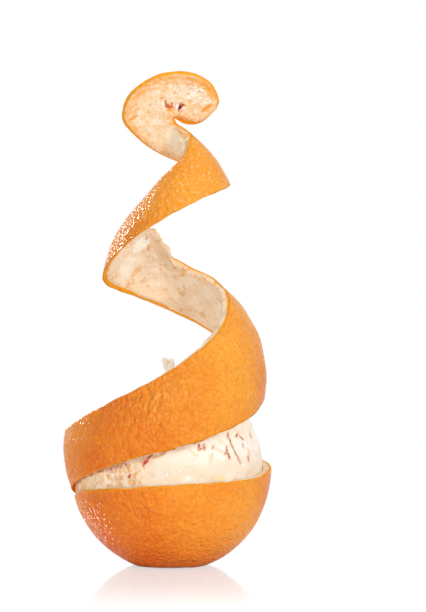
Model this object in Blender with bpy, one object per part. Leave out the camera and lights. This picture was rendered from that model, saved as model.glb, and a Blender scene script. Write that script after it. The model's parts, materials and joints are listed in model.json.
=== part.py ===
"""An orange peeled in one spiral: its lower half still sits in the peel, and the rest of the
peel stands above it as one coiled strip that ends in the round piece from the stem end.

Sizes are in millimetres and become metres when a mesh is made. +Z is up, and the origin is the
middle of the flat spot that the orange stands on. Turns are in degrees round the axis, rising
with the coil: -180 is the left side (-X), -90 the front (-Y), 0 the right, 90 the back, and so on.
"""
import math

import bmesh
import bpy
from mathutils import Vector

MM = 0.001

# The whole orange, before it was cut.
ORANGE_RADIUS = 41.2
WIDEST_HEIGHT = 38.4
DEPTH_BELOW_WIDEST = 41.2
PEEL_THICKNESS = 3.3
THICKNESS_AT_TOP = 2.5
THINNING_FROM = 60
THINNING_TO = 120
EDGE_ROUNDING = 0.8
ROUNDING_FADES_WITHIN = 7
CLEARANCE = 0.45
FOOT_INNER_RING = 0.5

# The cut ends low on the left. The rim that it leaves on the cup climbs once round to the strip.
SLIT_TURN = -189
TURN_STEP = 9
CUP_COLUMNS = 360 // TURN_STEP
CUP_ROWS = 12
STRIP_ROWS = 8

# Rim of the cup: turn, radius, height.
RIM = (
    (-189, 40.0, 28.5),
    (-150, 40.7, 32.0),
    (-90, 41.2, 35.8),
    (-30, 41.2, 37.4),
    (30, 41.0, 42.6),
    (90, 40.0, 48.0),
    (135, 40.6, 51.5),
    (171, 43.0, 54.5),
)

# Upright sections of the lifted strip: turn, radius and height of the lower edge, radius and
# height of the upper edge.
COIL = (
    (-189, 40.0, 28.5, 43.0, 54.5),
    (-165, 42.0, 34.0, 43.5, 57.0),
    (-105, 42.2, 48.5, 38.5, 76.0),
    (-60, 41.0, 57.2, 33.0, 93.0),
    (-15, 39.3, 68.0, 24.8, 108.5),
    (30, 38.3, 82.2, 21.0, 117.0),
    (75, 34.5, 99.3, 20.0, 123.5),
    (120, 31.0, 110.2, 17.0, 137.5),
    (165, 28.6, 116.3, 13.5, 144.0),
    (210, 27.3, 126.5, 12.0, 151.0),
    (255, 26.5, 140.1, 11.0, 159.5),
    (300, 25.5, 150.7, 9.5, 167.0),
    (345, 24.8, 156.2, 8.8, 174.5),
    (390, 20.5, 160.5, 8.2, 178.0),
    (432, 15.8, 165.5, 7.6, 181.0),
)

# The stem-end piece stands upright with its pith to the front. Its outer edge is part of a tilted
# oval, its sections pivot about the notch where the knife went in, and its near edge is a lobe.
# The neck that joins it to the coil bows outwards along its lower edge.
CAP_CENTRE = (-0.5, 7.5, 188.2)
CAP_RADII = (19.9, 13.7)
CAP_TILT = 15
CAP_DISH = 4.0
CAP_FIRST_ANGLE = 190
CAP_LAST_ANGLE = -12
CAP_SECTIONS = 18
NECK_STEPS = 5
NECK_BOW = (-0.9, 0, -1.5)
NOTCH = (1.2, 8.0, 183.6)
CAP_CORNER = (17.8, 8.0, 187.2)
LOBE_FROM = 0.4
LOBE_GATHER = 1.3
LOBE_DROP = 4.0

# The peeled fruit bulges a little to the right. A nub of white core stands on it.
FRUIT_RISE = 37.5
FRUIT_BULGE = 1.6
BARE_FROM = 45
FRUIT_ROWS = 9
FRUIT_TOP_ANGLE = 80
NUB = ((2.6, 0.6), (1.9, 4.6), (1.3, 9.6))
SEGMENTS = 10
SEGMENT_GROOVE = 0.5

MERGE_DISTANCE = 0.02
SMOOTH_ANGLE = 40


def clear_scene():
    """Removes whatever the scene holds at the start."""
    for item in list(bpy.data.objects):
        bpy.data.objects.remove(item, do_unlink=True)


def material(name, colour, roughness):
    """A plain material of its own for one node."""
    made = bpy.data.materials.new(name)
    made.use_nodes = True
    shader = made.node_tree.nodes["Principled BSDF"]
    shader.inputs["Base Color"].default_value = (*colour, 1.0)
    shader.inputs["Roughness"].default_value = roughness
    shader.inputs["Metallic"].default_value = 0.0
    return made


def through(rows, place):
    """The values at a place, on a smooth curve through rows that each start with their place."""
    last = len(rows) - 1
    spot = 0
    while spot < last - 1 and place > rows[spot + 1][0]:
        spot += 1
    here, there = rows[spot], rows[spot + 1]
    before = rows[max(spot - 1, 0)]
    after = rows[min(spot + 2, last)]
    span = there[0] - here[0]
    share = (place - here[0]) / span
    values = []
    for column in range(1, len(here)):
        slope_here = (there[column] - before[column]) / (there[0] - before[0]) * span
        slope_there = (after[column] - here[column]) / (after[0] - here[0]) * span
        values.append(
            (2 * share**3 - 3 * share**2 + 1) * here[column]
            + (share**3 - 2 * share**2 + share) * slope_here
            + (3 * share**2 - 2 * share**3) * there[column]
            + (share**3 - share**2) * slope_there
        )
    return values


def outward(turn):
    """The level direction away from the axis at a turn."""
    angle = math.radians(turn)
    return Vector((math.cos(angle), math.sin(angle), 0))


def at(turn, radius, height):
    """The point at a turn, a radius and a height."""
    return outward(turn) * radius + Vector((0, 0, height))


def between(low, high, value):
    """How far a value has come from low to high, kept from 0 to 1."""
    return max(0.0, min(1.0, (value - low) / (high - low)))


def crowned(low, high, skin_side, rows):
    """Points from a lower to an upper edge, bowed to the skin side as the orange's peel is."""
    chord = high - low
    bow = chord.length**2 / (8 * ORANGE_RADIUS)
    along = chord.normalized()
    out = (skin_side - along * skin_side.dot(along)).normalized()
    points = []
    for row in range(rows + 1):
        share = row / rows
        points.append(low + chord * share + out * bow * 4 * share * (1 - share))
    return points


def cup_section(inset):
    """Radius and height of each row from the flat spot to the slit's end, inset from the skin."""
    lowest = math.acos(WIDEST_HEIGHT / DEPTH_BELOW_WIDEST)
    slit_height = RIM[0][2]
    highest = math.acos((WIDEST_HEIGHT - slit_height) / DEPTH_BELOW_WIDEST)
    section = []
    for row in range(CUP_ROWS + 1):
        angle = lowest + (highest - lowest) * row / CUP_ROWS
        skin = Vector((ORANGE_RADIUS * math.sin(angle), -DEPTH_BELOW_WIDEST * math.cos(angle)))
        normal = Vector((skin.x / ORANGE_RADIUS**2, skin.y / DEPTH_BELOW_WIDEST**2)).normalized()
        point = skin - normal * inset
        section.append((point.x, point.y + WIDEST_HEIGHT))
    return section


def stitch(sheet, left, right):
    """Fills between two columns of corners that start together but may differ in number."""
    shared = min(len(left), len(right))
    for row in range(shared - 1):
        sheet.faces.new((left[row], right[row], right[row + 1], left[row + 1]))
    for row in range(shared - 1, len(right) - 1):
        sheet.faces.new((left[-1], right[row], right[row + 1]))


def add_cup(sheet):
    """The uncut lower peel. Returns its last column's upper corners, where the strip starts."""
    section = cup_section(0)
    columns = []
    for step in range(CUP_COLUMNS + 1):
        turn = SLIT_TURN + step * TURN_STEP
        if step < CUP_COLUMNS:
            column = [sheet.verts.new(at(turn, radius, height)) for radius, height in section]
        else:
            column = list(columns[0])
        rows = round(STRIP_ROWS * step / CUP_COLUMNS)
        if rows:
            radius, height = through(RIM, turn)
            wall = crowned(column[-1].co, at(turn, radius, height), outward(turn), rows)
            column += [sheet.verts.new(point) for point in wall[1:]]
        columns.append(column)
    for left, right in zip(columns, columns[1:]):
        stitch(sheet, left, right)
    add_foot(sheet, [column[0] for column in columns[:-1]])
    return columns[-1][CUP_ROWS:]


def add_foot(sheet, ring):
    """The flat spot: an inner ring and a middle point, both at the floor."""
    middle = sheet.verts.new((0, 0, 0))
    for corner in ring:
        corner.co.z = 0
    inner = [sheet.verts.new(corner.co * FOOT_INNER_RING) for corner in ring]
    for place in range(len(ring)):
        following = (place + 1) % len(ring)
        sheet.faces.new((inner[place], inner[following], ring[following], ring[place]))
        sheet.faces.new((middle, inner[following], inner[place]))


def coil_sections():
    """Each section of the coil: its place along the strip, lower edge, upper edge, skin side."""
    sections = []
    turn = SLIT_TURN
    while turn <= COIL[-1][0]:
        low_radius, low_height, high_radius, high_height = through(COIL, turn)
        low = at(turn, low_radius, low_height)
        high = at(turn, high_radius, high_height)
        sections.append((turn, *low, *high, *outward(turn)))
        turn += TURN_STEP
    return sections


def cap_sections(place):
    """The stem-end piece's sections, in the same form, from a given place along the strip."""
    sections = []
    tilt = math.radians(CAP_TILT)
    for step in range(CAP_SECTIONS):
        share = step / (CAP_SECTIONS - 1)
        angle = math.radians(CAP_FIRST_ANGLE + (CAP_LAST_ANGLE - CAP_FIRST_ANGLE) * share)
        across = CAP_RADII[0] * math.cos(angle)
        up = CAP_RADII[1] * math.sin(angle)
        side = across * math.cos(tilt) - up * math.sin(tilt)
        rise = across * math.sin(tilt) + up * math.cos(tilt)
        low = Vector(CAP_CENTRE) + Vector((side, -CAP_DISH * math.sin(math.pi * share), rise))
        advance = between(LOBE_FROM, 1, share) ** LOBE_GATHER
        high = Vector(NOTCH).lerp(Vector(CAP_CORNER), advance)
        high.z -= LOBE_DROP * math.sin(math.pi * advance)
        sections.append((place + step * TURN_STEP, *low, *high, 0, 1, 0))
    return sections


def add_strip(sheet, root):
    """The strip from its root on the cup to the far end of the stem-end piece."""
    coil = coil_sections()
    cap = cap_sections(coil[-1][0] + NECK_STEPS * TURN_STEP)
    halfway = coil[-1][0] + NECK_STEPS * TURN_STEP / 2
    neck = through(coil + cap, halfway)
    low = Vector(neck[:3]) + Vector(NECK_BOW)
    sections = coil + [(halfway, *low, *neck[3:])] + cap
    columns = [root]
    place = coil[1][0]
    while place <= cap[-1][0]:
        values = through(sections, place)
        low, high, skin_side = Vector(values[:3]), Vector(values[3:6]), Vector(values[6:])
        points = crowned(low, high, skin_side, STRIP_ROWS)
        columns.append([sheet.verts.new(point) for point in points])
        place += TURN_STEP
    for left, right in zip(columns, columns[1:]):
        stitch(sheet, left, right)


def thicken(sheet):
    """Gives the skin its inner side and a rounded edge, so that it becomes one closed solid."""
    sheet.normal_update()
    tips = (Vector(NOTCH), at(*RIM[0]))
    skin = list(sheet.faces)
    edges = [edge for edge in sheet.edges if edge.is_boundary]
    inner = {}
    for corner in list(sheet.verts):
        thinning = between(THINNING_FROM, THINNING_TO, corner.co.z)
        thickness = PEEL_THICKNESS + (THICKNESS_AT_TOP - PEEL_THICKNESS) * thinning
        inner[corner] = sheet.verts.new(corner.co - corner.normal * thickness)
    away = {}
    for edge in edges:
        loop = edge.link_loops[0]
        along = loop.link_loop_next.vert.co - loop.vert.co
        across = along.cross(loop.face.normal).normalized()
        for corner in edge.verts:
            away[corner] = away.get(corner, Vector()) + across
    nose = {}
    for corner, direction in away.items():
        direction -= corner.normal * direction.dot(corner.normal)
        halfway = (corner.co + inner[corner].co) / 2
        from_tip = min((corner.co - tip).length for tip in tips)
        rounding = EDGE_ROUNDING * between(0, ROUNDING_FADES_WITHIN, from_tip)
        nose[corner] = sheet.verts.new(halfway + direction / 2 * rounding)
    for edge in edges:
        start = edge.link_loops[0].vert
        end = edge.link_loops[0].link_loop_next.vert
        sheet.faces.new((end, start, nose[start], nose[end]))
        sheet.faces.new((nose[end], nose[start], inner[start], inner[end]))
    for face in skin:
        sheet.faces.new([inner[corner] for corner in reversed(face.verts)])


def finish(name, shape, look):
    """Makes the object in metres, with its material and smooth shading."""
    bmesh.ops.recalc_face_normals(shape, faces=shape.faces)
    bmesh.ops.scale(shape, vec=(MM, MM, MM), verts=shape.verts)
    mesh = bpy.data.meshes.new(name)
    shape.to_mesh(mesh)
    shape.free()
    mesh.materials.append(look)
    mesh.shade_smooth()
    mesh.set_sharp_from_angle(angle=math.radians(SMOOTH_ANGLE))
    made = bpy.data.objects.new(name, mesh)
    bpy.context.scene.collection.objects.link(made)
    return made


def make_peel():
    """The peel: cup, coil and stem-end piece as one sheet of skin, then given its thickness."""
    sheet = bmesh.new()
    root = add_cup(sheet)
    add_strip(sheet, root)
    bmesh.ops.remove_doubles(sheet, verts=sheet.verts, dist=MERGE_DISTANCE)
    bmesh.ops.recalc_face_normals(sheet, faces=sheet.faces)
    thicken(sheet)
    return finish("peel", sheet, material("orange_peel", (0.89, 0.28, 0.03), 0.45))


def fruit_rings():
    """Radius and height of the fruit's rings, from the floor of the cup to the top of the nub."""
    rings = cup_section(PEEL_THICKNESS + CLEARANCE)
    waist = ORANGE_RADIUS - PEEL_THICKNESS - CLEARANCE
    first = math.degrees(math.asin((rings[-1][1] - WIDEST_HEIGHT) / FRUIT_RISE))
    for row in range(1, FRUIT_ROWS + 1):
        angle = math.radians(first + (FRUIT_TOP_ANGLE - first) * row / FRUIT_ROWS)
        rings.append((waist * math.cos(angle), WIDEST_HEIGHT + FRUIT_RISE * math.sin(angle)))
    for radius, rise in NUB:
        rings.append((radius, WIDEST_HEIGHT + FRUIT_RISE + rise - NUB[0][1]))
    return rings


def make_fruit():
    """The peeled fruit, standing in the cup, with faint grooves between its segments."""
    shape = bmesh.new()
    loops = []
    rings = fruit_rings()
    for radius, height in rings:
        bare = between(BARE_FROM, WIDEST_HEIGHT + FRUIT_RISE, height)
        loop = []
        for column in range(CUP_COLUMNS):
            turn = SLIT_TURN + column * TURN_STEP
            ridge = abs(math.sin(math.radians(turn * SEGMENTS / 2)))
            groove = SEGMENT_GROOVE * (1 - ridge) * math.sin(math.pi * bare)
            point = at(turn, radius - groove, height)
            point.x += FRUIT_BULGE * math.sin(math.pi * bare)
            loop.append(shape.verts.new(point))
        loops.append(loop)
    for lower, upper in zip(loops, loops[1:]):
        for place in range(CUP_COLUMNS):
            following = (place + 1) % CUP_COLUMNS
            shape.faces.new((lower[place], lower[following], upper[following], upper[place]))
    shape.faces.new(reversed(loops[0]))
    shape.faces.new(loops[-1])
    return finish("fruit", shape, material("peeled_fruit", (0.93, 0.82, 0.62), 0.6))


clear_scene()
make_peel()
make_fruit()
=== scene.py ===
"""The looks of an orange peeled in one spiral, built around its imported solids."""
import json
import math
import random

import bpy
import numpy as np
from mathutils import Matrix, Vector, noise

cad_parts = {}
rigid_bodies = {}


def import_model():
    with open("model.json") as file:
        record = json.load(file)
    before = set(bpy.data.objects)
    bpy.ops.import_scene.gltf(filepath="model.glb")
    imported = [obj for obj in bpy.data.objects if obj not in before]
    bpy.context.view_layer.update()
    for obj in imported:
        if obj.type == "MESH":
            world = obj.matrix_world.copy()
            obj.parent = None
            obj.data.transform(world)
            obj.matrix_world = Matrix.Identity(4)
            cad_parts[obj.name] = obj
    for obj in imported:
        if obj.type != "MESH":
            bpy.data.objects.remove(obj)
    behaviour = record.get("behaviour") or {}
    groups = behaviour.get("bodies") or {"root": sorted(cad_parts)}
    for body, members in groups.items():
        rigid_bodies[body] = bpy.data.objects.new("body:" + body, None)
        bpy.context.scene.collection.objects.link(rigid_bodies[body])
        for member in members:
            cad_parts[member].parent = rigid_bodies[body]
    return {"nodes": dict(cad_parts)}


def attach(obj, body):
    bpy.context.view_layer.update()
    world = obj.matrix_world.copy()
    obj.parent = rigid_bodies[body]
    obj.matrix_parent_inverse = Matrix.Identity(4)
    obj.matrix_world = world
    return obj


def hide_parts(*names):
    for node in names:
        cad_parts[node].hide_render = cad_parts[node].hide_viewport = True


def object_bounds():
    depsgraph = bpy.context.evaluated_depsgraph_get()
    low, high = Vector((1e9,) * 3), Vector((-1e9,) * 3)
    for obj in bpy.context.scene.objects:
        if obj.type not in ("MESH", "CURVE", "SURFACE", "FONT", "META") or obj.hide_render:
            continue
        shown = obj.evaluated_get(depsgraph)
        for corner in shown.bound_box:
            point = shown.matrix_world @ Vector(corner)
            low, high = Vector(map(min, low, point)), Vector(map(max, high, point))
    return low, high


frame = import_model()
cad_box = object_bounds()


# The studio: a pale floor with a faint gloss that fades into a white surround, and soft
# lamps. The key lamp stands at the front right, low enough to reach into the coil. The
# camera is almost level with the orange, a little above the floor.
MM = 0.001
LOOK_AT = Vector((17.2, 0.0, 106.2)) * MM
CAMERA_DISTANCE = 1.2
CAMERA_ELEVATION = math.radians(1.5)
FRAME_HEIGHT = 0.2509
SURROUND_LIGHT = 0.43
# The floor's sizes are in metres from its middle.
FLOOR_RADIUS = 0.6
FLOOR_FADES_FROM = 0.25
FLOOR_GLOSS = 0.36
FLOOR_GLOSS_ROUGHNESS = 0.08
GLOSS_FADES_FROM = 0.05
GLOSS_FADES_TO = 0.18
FLOOR_GLOW = 1.15
GLOW_SHARE = 0.85
GLOW_FROM = 0.009
GLOW_TO = 0.016
# Each lamp's place and width in metres, and its power in watts.
LAMPS = {
    "key": ((0.85, -0.95, 0.45), 0.5, 8.4),
    "fill": ((-0.60, -0.95, 0.30), 0.4, 3.8),
    "left_edge": ((-0.60, 0.80, 0.40), 0.2, 4.3),
    "top": ((0.10, 0.10, 1.00), 0.6, 2.2),
}


def linear(hex_colour):
    """An sRGB hex colour as the linear colour that shaders take."""
    parts = [int(hex_colour[i:i + 2], 16) / 255 for i in (1, 3, 5)]
    bright = [c / 12.92 if c <= 0.04045 else ((c + 0.055) / 1.055) ** 2.4 for c in parts]
    return bright + [1.0]


def add_node(tree, kind, inputs, **settings):
    """Adds a shader node with its settings; an input is a value, or a socket to link."""
    made = tree.nodes.new("ShaderNode" + kind)
    for name, value in settings.items():
        setattr(made, name, value)
    for name, value in inputs.items():
        if isinstance(value, bpy.types.NodeSocket):
            tree.links.new(value, made.inputs[name])
        else:
            made.inputs[name].default_value = value
    return made


def aim(thing, target):
    """Turns a lamp or a camera to look at a point."""
    thing.rotation_euler = (target - thing.location).to_track_quat("-Z", "Y").to_euler()


bpy.ops.object.select_all(action="DESELECT")
camera_data = bpy.data.cameras.new("camera")
camera_data.sensor_width = 36.0
camera_data.lens = camera_data.sensor_width * CAMERA_DISTANCE / FRAME_HEIGHT
camera = bpy.data.objects.new("camera", camera_data)
bpy.context.collection.objects.link(camera)
camera.location = LOOK_AT + CAMERA_DISTANCE * Vector(
    (0.0, -math.cos(CAMERA_ELEVATION), math.sin(CAMERA_ELEVATION)))
aim(camera, LOOK_AT)
bpy.context.scene.camera = camera

for name, (place, width, power) in LAMPS.items():
    lamp_data = bpy.data.lights.new(name, "AREA")
    lamp_data.shape = "DISK"
    lamp_data.size = width
    lamp_data.energy = power
    lamp = bpy.data.objects.new(name, lamp_data)
    bpy.context.collection.objects.link(lamp)
    lamp.location = place
    aim(lamp, LOOK_AT)

# The surround shows as plain white and gives the orange less than half of that light.
world = bpy.data.worlds.new("white_surround")
world.use_nodes = True
bpy.context.scene.world = world
sky = world.node_tree
sky.nodes.clear()
path = add_node(sky, "LightPath", {})
seen = add_node(sky, "Math", {0: path.outputs["Is Camera Ray"],
                              1: path.outputs["Is Glossy Ray"]}, operation="MAXIMUM")
seen = add_node(sky, "Math", {0: seen.outputs[0],
                              1: path.outputs["Is Transmission Ray"]}, operation="MAXIMUM")
ambient = add_node(sky, "Background", {"Color": (1, 1, 1, 1), "Strength": SURROUND_LIGHT})
shown = add_node(sky, "Background", {"Color": (1, 1, 1, 1), "Strength": 1.0})
both = add_node(sky, "MixShader", {0: seen.outputs[0], 1: ambient.outputs[0],
                                   2: shown.outputs[0]})
add_node(sky, "OutputWorld", {"Surface": both.outputs[0]})

bpy.ops.mesh.primitive_circle_add(vertices=96, radius=FLOOR_RADIUS, fill_type="NGON")
floor = bpy.context.object
floor.name = "floor"
# A smooth white board. It mirrors the orange faintly, and the less the further out. It glows
# all round the cup's foot, so that only a thin shadow is left where the cup stands.
floor_look = bpy.data.materials.new("pale_studio_floor")
floor_look.use_nodes = True
tree = floor_look.node_tree
tree.nodes.clear()
place = add_node(tree, "TexCoord", {})
spread = add_node(tree, "VectorMath", {0: place.outputs["Object"]}, operation="LENGTH")
fade = add_node(tree, "MapRange", {"Value": spread.outputs["Value"],
                                   "From Min": FLOOR_FADES_FROM, "From Max": FLOOR_RADIUS},
                interpolation_type="SMOOTHSTEP")
gloss_share = add_node(tree, "MapRange", {
    "Value": spread.outputs["Value"], "From Min": GLOSS_FADES_FROM,
    "From Max": GLOSS_FADES_TO, "To Min": FLOOR_GLOSS, "To Max": 0.0},
    interpolation_type="SMOOTHSTEP")
path = add_node(tree, "LightPath", {})
matt = add_node(tree, "BsdfDiffuse", {"Color": linear("#F0F0F0")})
glow = add_node(tree, "Emission", {"Color": linear("#FFFFFF"), "Strength": FLOOR_GLOW})
glow_share = add_node(tree, "MapRange", {
    "Value": spread.outputs["Value"], "From Min": GLOW_FROM, "From Max": GLOW_TO,
    "To Max": GLOW_SHARE}, interpolation_type="SMOOTHSTEP")
shown = add_node(tree, "Math", {0: path.outputs["Is Camera Ray"],
                                1: glow_share.outputs[0]}, operation="MULTIPLY")
matt = add_node(tree, "MixShader", {0: shown.outputs[0], 1: matt.outputs[0],
                                    2: glow.outputs[0]})
gloss = add_node(tree, "BsdfGlossy", {"Color": linear("#FFFFFF"),
                                      "Roughness": FLOOR_GLOSS_ROUGHNESS})
surface = add_node(tree, "MixShader", {0: gloss_share.outputs[0], 1: matt.outputs[0],
                                       2: gloss.outputs[0]})
clear = add_node(tree, "BsdfTransparent", {})
ground = add_node(tree, "MixShader", {0: fade.outputs[0], 1: surface.outputs[0],
                                      2: clear.outputs[0]})
add_node(tree, "OutputMaterial", {"Surface": ground.outputs[0]})
floor.data.materials.append(floor_look)

bpy.context.scene.view_settings.view_transform = "Standard"


# The peel: one strip of orange rind about 3 mm thick, cut with a knife. It is still
# one with the cup round the lower half and with the stem-end piece at the top. The cup
# stands on its flat spot, and the coil above it holds itself up.

# The unevenness in chosen directions starts from the clock unless it is given a number.
NOISE_SEED = 1
noise.seed_set(NOISE_SEED)

# The skin spreads from a point at the cup's front out to edges sharper than this angle. The
# cut's two edges stay this crisp when the peel is smoothed, and the cut this flat.
SKIN_SHARPNESS = math.radians(45)
SKIN_SEED = Vector((0.0, -41.2, 20.0)) * MM
CUT_CRISPNESS = 0.6
EDGE_CRISPNESS = 0.75
CUT_FLATNESS = 0.85

# Where the stem-end piece begins: lower towards the right, by this slope. Its neck counts
# with it on the left, from these heights on. The lobe is its rounded end by the notch.
CAP_STARTS = (182.8 * MM, 184.2 * MM)
NOTCH_SLOPE = 0.35
NECK_STARTS = (160 * MM, 166 * MM)
NECK_OUTER_EDGE = (4 * MM, 0)
LOBE_WIDTHS = (-1 * MM, 3 * MM)
LOBE_HEIGHTS = (189.5 * MM, 187 * MM)

# The slit's left end, by x and by height.
SLIT_END_WIDTHS = (-31 * MM, -37 * MM)
SLIT_END_HEIGHTS = (50 * MM, 40 * MM)

# How far the slanted knife moved the pith's corner up or down the strip from the skin's edge:
# on the lower edges, on the stem-end piece and its lobe, and by height on the upper edges.
LOWER_SLANT = 2.8 * MM
CAP_SLANT = 1.0 * MM
LOBE_SLANT = 0.7 * MM
UPPER_SLANT_HEIGHTS = np.array(
    [28, 54, 76, 98, 110, 117, 120, 125, 127, 150, 165, 180, 184]) * MM
UPPER_SLANTS = np.array(
    [0.0, 0.0, -1.2, -2.2, -2.2, -0.6, 1.2, 1.2, -1.2, -1.2, -2.2, -2.0, 1.1]) * MM
SLANT_UNEVENNESS = 0.5
SLANT_WAVES = 7 * MM

# How much of the pith a corner of the cut shows, from 0 for zest to 1 for pith.
LOWER_DEPTH = 0.8
UPPER_DEPTH = 1.0
CAP_DEPTH = 0.7
MIDDLE_DEPTH = 0.5
SLIT_END_ZEST = 0.35
SOAKED_ROWS = (0.62, 0.36, 0.14)

# Unevenness: how far it reaches and how wide its bumps are, in mm.
SKIN_WAVES = (0.18, 9)
PITH_PILLOWS = (0.28, 4)
PITH_LUMPS = (0.16, 1.8)
KNIFE_WANDER = (0.25, 5)
TORN_PITH = (0.3, 1.3)

# Steps in the edge over the fruit, at the front: x, and how far the edge drops, in mm.
STEPS_IN_FRONT_OF = -20 * MM
STEPS_ABOVE = 44 * MM
STEPS_BELOW = 64 * MM
STEP_PLACES = np.array([-18, -9, -2, 2.4, 3.4, 9, 14, 14.8]) * MM
STEP_DROPS = (0, 0.2, 0.7, 1.1, 0.1, 0.4, 0.8, 0)

# A flap torn from the edge at the back of the coil: the turn round the axis in degrees, and
# how far the edge stands up there, in mm.
FLAP_PLACE = Vector((-3.0, 18.0, 130.0)) * MM
FLAP_REACH = 12 * MM
FLAP_TURNS = (76, 82, 88, 91, 92.5, 95, 98, 101, 103.5, 106, 108, 111, 116, 121)
FLAP_RISES = (0, -0.4, -1.8, -1.8, 1.3, 0.8, 0.9, 0.0, 1.3, 1.0, 1.9, 1.6, 1.9, 0)
FLAP_LEANS_IN = 0.5
FLAP_STANDS_UP = 0.85

# The relief dies out at the floor over this height, so the cup still stands flat.
FOOT_HEIGHT = 2 * MM

# The front of the stem-end piece is meshed finer, for its small marks.
MARKED_ABOVE = 176 * MM
FACING_FRONT = -0.3

# A mark's outline: how far it reaches into the piece, how ragged it is and how wide the rags
# are, and where its colour fades and ends, as squares of its radius.
MARK_DEPTH = 2 * MM
MARK_RAGS = 0.8
MARK_RAG_WIDTH = 0.6 * MM
MARK_FADES = (1.25, 0.55)
MARK_ENDS = 2.4


def refine(node, name):
    """A copy of a CAD node as a piece of its own, merged into one skin of quads."""
    piece = node.copy()
    piece.data = node.data.copy()
    piece.name = name
    piece.data.name = name
    piece.parent = None
    bpy.context.collection.objects.link(piece)
    bpy.ops.object.select_all(action="DESELECT")
    bpy.context.view_layer.objects.active = piece
    piece.select_set(True)
    bpy.ops.mesh.customdata_custom_splitnormals_clear()
    bpy.ops.object.mode_set(mode="EDIT")
    bpy.ops.mesh.select_mode(type="FACE")
    bpy.ops.mesh.select_all(action="SELECT")
    bpy.ops.mesh.remove_doubles(threshold=0.01 * MM)
    bpy.ops.mesh.tris_convert_to_quads(face_threshold=math.radians(60),
                                       shape_threshold=math.radians(60))
    bpy.ops.mesh.select_all(action="DESELECT")
    bpy.ops.object.mode_set(mode="OBJECT")
    piece.data.materials.clear()
    return piece


def smooth_out(piece, levels):
    """Subdivides the piece into a smooth skin."""
    rounding = piece.modifiers.new("smooth", "SUBSURF")
    rounding.levels = rounding.render_levels = levels
    bpy.ops.object.modifier_apply(modifier=rounding.name)


def fade_in(start, end, value):
    """0 up to start, 1 from end, smooth in between."""
    share = min(1.0, max(0.0, (value - start) / (end - start)))
    return share * share * (3 - 2 * share)


def lumps(place, height, width):
    """Smooth unevenness of about the given height, up and down. Both sizes are in mm."""
    return height * (noise.noise(place / (width * MM)) * 1.6)


def drift(place, height, width):
    """The same unevenness as a shift in any direction."""
    return noise.noise_vector(place / (width * MM)) * height


def push(piece, shift):
    """Moves every corner by what shift gives for its place, its normal and its number."""
    corners = piece.data.vertices
    before = [(corner.co.copy(), corner.normal.copy()) for corner in corners]
    for corner, (place, normal) in zip(corners, before):
        corner.co = place + shift(place, normal, corner.index)
    piece.data.update()


def split_finer(piece, wanted, cuts=1):
    """Divides the faces whose centre is wanted, for detail finer than the rest."""
    for face in piece.data.polygons:
        face.select = wanted(face)
    bpy.ops.object.mode_set(mode="EDIT")
    bpy.ops.mesh.subdivide(number_cuts=cuts, smoothness=1.0)
    bpy.ops.mesh.select_all(action="DESELECT")
    bpy.ops.object.mode_set(mode="OBJECT")


def middle_of(piece, numbers):
    """The middle point of some of the piece's corners."""
    return sum((piece.data.vertices[n].co for n in numbers), Vector()) / len(numbers)


def on_stem_end(place):
    """1 on the stem-end piece and its neck's outer edge, fading to 0 below them."""
    neck = fade_in(*NECK_STARTS, place.z) * fade_in(*NECK_OUTER_EDGE, place.x)
    above_notch = place.z + NOTCH_SLOPE * max(0.0, place.x)
    return max(neck, fade_in(*CAP_STARTS, above_notch))


def add_values(piece, name, values):
    """Gives the piece a number of its own at each corner."""
    held = piece.data.attributes.new(name, "FLOAT", "POINT")
    held.data.foreach_set("value", values)


def add_tint(piece):
    """Gives the piece a colour of its own at each corner, at first with no strength."""
    tint = piece.data.attributes.new("tint", "FLOAT_COLOR", "POINT")
    tint.data.foreach_set("color", [0.0] * 4 * len(piece.data.vertices))


def dab(piece, start, aim_at, lean, length, width, colour, strength, raised=0.0):
    """One mark on the surface that a line from start towards aim_at meets first.

    It is painted into the piece's tint, and raised or sunk. lean turns it from upright.
    """
    bpy.context.view_layer.update()
    met, centre, normal, _ = piece.ray_cast(start, (aim_at - start).normalized())
    if not met:
        print("left out: a mark that misses", piece.name)
        return
    up = (Vector((0, 0, 1)) - normal * normal.z).normalized()
    side = up.cross(normal)
    along = up * math.cos(lean) + side * math.sin(lean)
    across = along.cross(normal)
    tint = piece.data.attributes["tint"].data
    count = len(piece.data.vertices)
    places = np.empty(count * 3)
    piece.data.vertices.foreach_get("co", places)
    off = places.reshape(-1, 3) - np.array(centre)
    reach = (off @ along / (length / 2)) ** 2 + (off @ across / (width / 2)) ** 2
    reach += (off @ normal / MARK_DEPTH) ** 2
    for number in np.nonzero(reach < MARK_ENDS)[0]:
        corner = piece.data.vertices[number]
        uneven = reach[number] + MARK_RAGS * noise.noise(corner.co / MARK_RAG_WIDTH)
        share = fade_in(*MARK_FADES, uneven) * strength
        old = Vector(tint[number].color)
        new = Vector((*linear(colour)[:3], 1.0))
        if old.w == 0:
            old = Vector((*new[:3], 0.0))
        tint[number].color = old.lerp(new, share)
        corner.co += normal * raised * share
    piece.data.update()


peel = refine(frame["nodes"]["peel"], "spiral_peel")

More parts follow.
